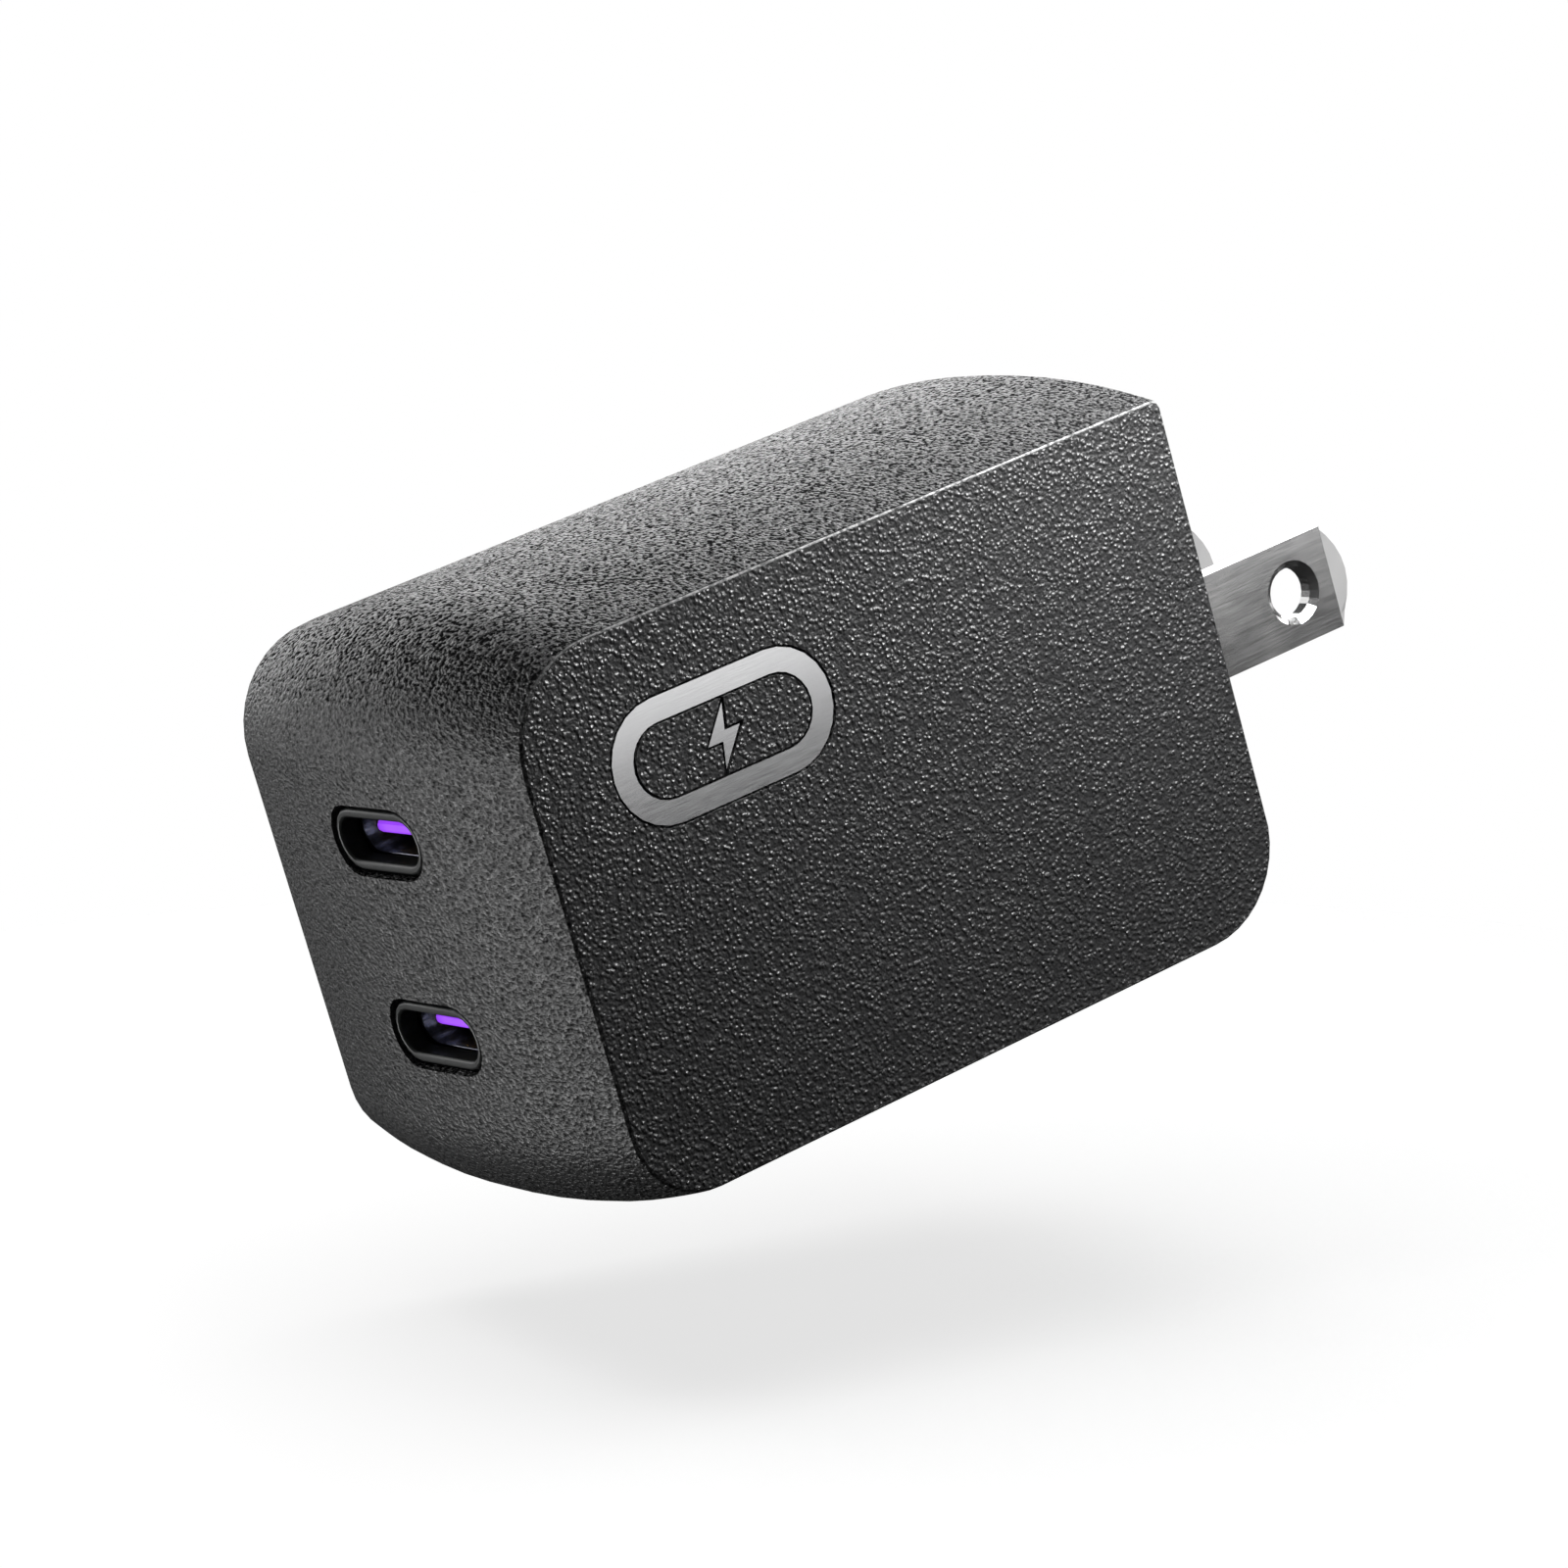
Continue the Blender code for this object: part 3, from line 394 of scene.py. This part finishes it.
def make_materials():
    looks = {
        "charcoal_plastic": case_plastic(),
        "badge_metal": badge_metal(),
        "bezel_plastic": bezel_satin(),
        "stainless": shell_steel(),
        "violet_plastic": tongue_violet(),
        "nickel_plate": nickel(),
        "board_green": board(),
        "contact_gold": gold(),
    }
    wound = (
        ("winding_tape", (0.5, 0.3, 0.02), (0.72, 0.48, 0.05), 0.35, 1.1, 0.03, 0.0),
        ("copper_wire", (0.38, 0.11, 0.04), (0.66, 0.25, 0.1), 0.3, 0.45, 0.1, 1.0),
    )
    for name, low, high, rough, pitch, depth, metallic in wound:
        looks[name] = banded(name, low, high, rough, pitch * MM, depth * MM, metallic)
    # Name, two colours, roughness, grain and relief in mm, metallic
    table = (
        ("black_plastic", (0.012, 0.012, 0.013), (0.022, 0.022, 0.024), 0.45, 0.16, 0.012, 0.0),
        ("holder_plastic", (0.030, 0.030, 0.032), (0.045, 0.045, 0.048), 0.5, 0.2, 0.012, 0.0),
        ("spring_bronze", (0.40, 0.22, 0.08), (0.55, 0.33, 0.14), 0.28, 0.15, 0.002, 1.0),
        ("ferrite", (0.018, 0.018, 0.020), (0.040, 0.039, 0.042), 0.55, 0.12, 0.01, 0.0),
        ("bobbin_plastic", (0.010, 0.010, 0.010), (0.020, 0.020, 0.021), 0.42, 0.2, 0.01, 0.0),
        ("capacitor_sleeve", (0.008, 0.012, 0.03), (0.02, 0.028, 0.06), 0.3, 0.6, 0.01, 0.0),
        ("film_box", (0.45, 0.33, 0.02), (0.6, 0.45, 0.04), 0.35, 0.3, 0.008, 0.0),
        ("disc_blue", (0.01, 0.05, 0.28), (0.02, 0.09, 0.4), 0.3, 0.4, 0.02, 0.0),
        ("fuse_sleeve", (0.14, 0.10, 0.04), (0.24, 0.18, 0.08), 0.35, 0.4, 0.01, 0.0),
        ("chip_epoxy", (0.008, 0.008, 0.009), (0.018, 0.018, 0.019), 0.5, 0.08, 0.006, 0.0),
        ("polymer_can", (0.45, 0.46, 0.49), (0.6, 0.6, 0.62), 0.25, 0.1, 0.002, 1.0),
        ("heat_plate", (0.42, 0.42, 0.43), (0.56, 0.56, 0.57), 0.38, 0.12, 0.003, 1.0),
        ("sheet_film", (0.52, 0.49, 0.36), (0.66, 0.62, 0.5), 0.4, 0.5, 0.01, 0.0),
    )
    for name, low, high, rough, grain, depth, metallic in table:
        looks[name] = plain(name, low, high, rough, grain * MM, depth * MM, metallic)
    return looks


# --- Finish of the CAD nodes ------------------------------------------------------------------


def smooth_group(degrees):
    """A modifier tree that smooths every edge flatter than the angle."""
    tree = bpy.data.node_groups.new("smooth_below_%d" % degrees, "GeometryNodeTree")
    tree.interface.new_socket("Geometry", in_out="INPUT", socket_type="NodeSocketGeometry")
    tree.interface.new_socket("Geometry", in_out="OUTPUT", socket_type="NodeSocketGeometry")
    start = tree.nodes.new("NodeGroupInput")
    end = tree.nodes.new("NodeGroupOutput")
    faces = tree.nodes.new("GeometryNodeSetShadeSmooth")
    faces.domain = "FACE"
    edges = tree.nodes.new("GeometryNodeSetShadeSmooth")
    edges.domain = "EDGE"
    bend = tree.nodes.new("GeometryNodeInputMeshEdgeAngle")
    small = tree.nodes.new("FunctionNodeCompare")
    small.data_type = "FLOAT"
    small.operation = "LESS_EQUAL"
    small.inputs[1].default_value = math.radians(degrees)
    tree.links.new(start.outputs[0], faces.inputs["Geometry"])
    tree.links.new(faces.outputs[0], edges.inputs["Geometry"])
    tree.links.new(bend.outputs["Unsigned Angle"], small.inputs[0])
    tree.links.new(small.outputs[0], edges.inputs["Shade Smooth"])
    tree.links.new(edges.outputs[0], end.inputs[0])
    return tree


def finish_node(node, look, smoothing, bevel):
    """Welds the imported faces, rounds the edges a little, smooths the curves and sets the look."""
    mesh = node.data
    if mesh.has_custom_normals:
        mesh.attributes.remove(mesh.attributes["custom_normal"])
    edges = mesh.attributes.get("sharp_edge")
    if edges:
        mesh.attributes.remove(edges)
    weld = node.modifiers.new("weld", "WELD")
    weld.merge_threshold = WELD_REACH
    if bevel:
        round_edges = node.modifiers.new("round_edges", "BEVEL")
        round_edges.width = bevel
        round_edges.segments = 2
        round_edges.limit_method = "ANGLE"
        round_edges.angle_limit = math.radians(SMOOTH_BELOW)
        round_edges.use_clamp_overlap = True
    smooth = node.modifiers.new("smooth", "NODES")
    smooth.node_group = smoothing
    for held in node.material_slots:
        held.material = look


# --- Extra pieces -----------------------------------------------------------------------------


def bevelled_bar(bm, low, high, edge):
    """A bar between two corners, its edges cut back."""
    made = bmesh.ops.create_cube(bm, size=1.0)["verts"]
    middle = (low + high) / 2
    size = high - low
    bmesh.ops.scale(bm, vec=size, verts=made)
    bmesh.ops.translate(bm, vec=middle, verts=made)
    sides = {e for v in made for e in v.link_edges}
    bmesh.ops.bevel(bm, geom=list(sides), offset=edge, segments=2, profile=0.5, affect="EDGES")


def contact_strips(name, node, look):
    """Rows of gold contacts on both faces of a port's tongue."""
    low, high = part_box(node)
    middle = (low.z + high.z) / 2
    start, end = (low.x + reach for reach in CONTACT_SPAN)
    bm = bmesh.new()
    for side in (-1, 1):
        face = middle + side * TONGUE_HALF
        for index in range(CONTACTS_PER_FACE):
            y = (index - (CONTACTS_PER_FACE - 1) / 2) * CONTACT_PITCH
            near = Vector((start, y - CONTACT_WIDTH / 2, face - CONTACT_RISE / 2))
            far = Vector((end, y + CONTACT_WIDTH / 2, face + CONTACT_RISE / 2))
            bevelled_bar(bm, near, far, CONTACT_EDGE)
    mesh = bpy.data.meshes.new(name)
    bm.to_mesh(mesh)
    bm.free()
    piece = bpy.data.objects.new(name, mesh)
    bpy.context.scene.collection.objects.link(piece)
    mesh.materials.append(look)
    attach(piece, "housing")
    return piece


# --- Studio -----------------------------------------------------------------------------------


def camera_axes():
    forward = Vector((
        -math.sin(CAMERA_AZIMUTH) * math.cos(CAMERA_ELEVATION),
        math.cos(CAMERA_AZIMUTH) * math.cos(CAMERA_ELEVATION),
        -math.sin(CAMERA_ELEVATION),
    ))
    right = forward.cross(Vector((0, 0, 1))).normalized()
    up = right.cross(forward)
    turn = Matrix.Rotation(CAMERA_ROLL, 3, forward)
    return turn @ right, turn @ up, forward


RIGHT, UP, FORWARD = camera_axes()


def set_frame(thing, place, right, up, back):
    turn = Matrix((right, up, back)).transposed().to_4x4()
    thing.matrix_world = Matrix.Translation(place) @ turn


def add_camera():
    data = bpy.data.cameras.new("camera")
    data.sensor_width = SENSOR
    data.lens = LENS
    data.clip_start = CLIP_NEAR
    data.clip_end = CLIP_FAR
    camera = bpy.data.objects.new("camera", data)
    bpy.context.scene.collection.objects.link(camera)
    set_frame(camera, TARGET - FORWARD * CAMERA_DISTANCE, RIGHT, UP, -FORWARD)
    bpy.context.scene.camera = camera


def panel(name, place, back, size, watts, shines_on=None):
    """A rectangular area light at a place, shining away from its back.
    It lights the part, or just the given collection."""
    data = bpy.data.lights.new(name, "AREA")
    data.shape = "RECTANGLE"
    data.size, data.size_y = size
    data.energy = watts
    light = bpy.data.objects.new(name, data)
    bpy.context.scene.collection.objects.link(light)
    side = Vector((0, 0, 1)).cross(back).normalized()
    set_frame(light, place, side, back.cross(side), back)
    light.visible_camera = False
    light.light_linking.receiver_collection = shines_on or PART_ONLY
    return light


def softbox(name, azimuth, elevation, watts, distance=350.0, size=150.0):
    """A panel that faces the part. Its angles are from the camera's forward and right axes."""
    turn, lift = math.radians(azimuth), math.radians(elevation)
    flat = RIGHT * math.sin(turn) + FORWARD * math.cos(turn)
    back = flat * math.cos(lift) + UP * math.sin(lift)
    return panel(name, TARGET + back * distance * MM, back, (size * MM, size * MM), watts)


PART_ONLY = bpy.data.collections.new("all_but_the_floor")
FLOOR_ONLY = bpy.data.collections.new("just_the_floor")
BLADES_ONLY = bpy.data.collections.new("just_the_blades")
for blade in ("near_blade", "far_blade"):
    BLADES_ONLY.objects.link(NODES[blade])


def add_floor():
    """A round pale floor below the part. Its edge melts into the white background."""
    normal = (UP * math.cos(FLOOR_TILT) - FORWARD * math.sin(FLOOR_TILT)).normalized()
    middle = TARGET - normal * FLOOR_DROP
    bm = bmesh.new()
    bmesh.ops.create_circle(bm, cap_ends=True, segments=FLOOR_SIDES, radius=FLOOR_RADIUS)
    mesh = bpy.data.meshes.new("floor")
    bm.to_mesh(mesh)
    bm.free()
    floor = bpy.data.objects.new("floor", mesh)
    bpy.context.scene.collection.objects.link(floor)
    floor.matrix_world = Matrix.Translation(middle) @ normal.to_track_quat("Z", "Y").to_matrix().to_4x4()
    t = Tree("floor_white")
    haze = t.noise(30.0 * MM, 2.0)
    t.set(Base_Color=t.tint(haze, (0.93, 0.93, 0.93), (0.95, 0.95, 0.95)), Roughness=0.9)
    t.set(Emission_Color=(1.0, 1.0, 1.0), Emission_Strength=FLOOR_GLOW, Specular_IOR_Level=0.0)
    mesh.materials.append(t.material)
    floor.visible_diffuse = False
    floor.visible_glossy = False
    floor.visible_shadow = False
    FLOOR_ONLY.objects.link(floor)
    PART_ONLY.objects.link(floor)
    PART_ONLY.collection_objects[0].light_linking.link_state = "EXCLUDE"
    return normal


def add_world():
    """White behind the part for the camera, and a dim soft gradient for everything else."""
    world = bpy.data.worlds.new("studio")
    bpy.context.scene.world = world
    world.use_nodes = True
    nodes, links = world.node_tree.nodes, world.node_tree.links
    nodes.clear()
    output = nodes.new("ShaderNodeOutputWorld")
    mix = nodes.new("ShaderNodeMixShader")
    seen = nodes.new("ShaderNodeBackground")
    seen.inputs["Color"].default_value = (1.0, 1.0, 1.0, 1.0)
    seen.inputs["Strength"].default_value = 1.0
    room = nodes.new("ShaderNodeBackground")
    room.inputs["Strength"].default_value = 1.0
    path = nodes.new("ShaderNodeLightPath")
    coordinates = nodes.new("ShaderNodeTexCoord")
    split = nodes.new("ShaderNodeSeparateXYZ")
    ramp = nodes.new("ShaderNodeValToRGB")
    scale = nodes.new("ShaderNodeMapRange")
    links.new(coordinates.outputs["Generated"], split.inputs[0])
    links.new(split.outputs["Z"], scale.inputs["Value"])
    scale.inputs["From Min"].default_value = -1.0
    scale.inputs["From Max"].default_value = 1.0
    links.new(scale.outputs["Result"], ramp.inputs["Fac"])
    stops = ramp.color_ramp.elements
    stops[0].position, stops[0].color = 0.0, (ROOM_LOW, ROOM_LOW, ROOM_LOW, 1.0)
    stops[1].position, stops[1].color = 1.0, (ROOM_HIGH, ROOM_HIGH, ROOM_HIGH, 1.0)
    links.new(ramp.outputs["Color"], room.inputs["Color"])
    links.new(path.outputs["Is Camera Ray"], mix.inputs["Fac"])
    links.new(room.outputs[0], mix.inputs[1])
    links.new(seen.outputs[0], mix.inputs[2])
    links.new(mix.outputs[0], output.inputs["Surface"])


def add_lights(floor_normal):
    for name, azimuth, elevation, watts, distance, size in SOFTBOXES:
        softbox(name, azimuth, elevation, watts, distance, size)
    # In front of the badge side: its lower edge is what the badge and the blades mirror
    left, right = (Vector(point) * MM for point in SIDE_PANEL_EDGE)
    along = right - left
    away = Vector((along.y, -along.x, 0.0)).normalized()
    middle = (left + right) / 2 + Vector((0, 0, SIDE_PANEL_SIZE[1] / 2 * MM))
    panel("side_panel", middle, away, [side * MM for side in SIDE_PANEL_SIZE], SIDE_PANEL_WATTS)
    # Overhead: the soft shadow on the floor
    size = TOP_LIGHT_SIZE * MM
    place = TARGET + (floor_normal * TOP_LIGHT_DISTANCE - RIGHT * TOP_LIGHT_SHIFT) * MM
    panel("top_light", place, floor_normal, (size, size), TOP_LIGHT_WATTS, FLOOR_ONLY)
    # Two small panels that only the blades mirror: one for their flats and one for their end bevels
    for name, place, back, size, watts in BLADE_PANELS:
        place, back = Vector(place) * MM, Vector(back).normalized()
        panel(name, place, back, [side * MM for side in size], watts, BLADES_ONLY)


# --- Build ------------------------------------------------------------------------------------


looks = make_materials()
smoothing = smooth_group(SMOOTH_BELOW)
crisp = smooth_group(CRISP_BELOW)
for name, node in NODES.items():
    slot = node.material_slots[0].material.name.split(".")[0]
    bevel = next((width for key, width in ROUNDED_EDGES.items() if name.endswith(key)), 0.0)
    finish_node(node, looks[slot], crisp if name.endswith("_blade") else smoothing, bevel)

for port in ("upper", "lower"):
    tongue = port + "_usb_tongue"
    # The tongue's painted glow stays off the steel round it
    NODES[tongue].visible_glossy = False
    NODES[tongue].visible_diffuse = False
    contact_strips(port + "_port_contacts", tongue, looks["contact_gold"])

add_camera()
add_world()
add_lights(add_floor())
bpy.context.scene.view_settings.view_transform = "Standard"
bpy.context.scene.view_settings.look = "None"
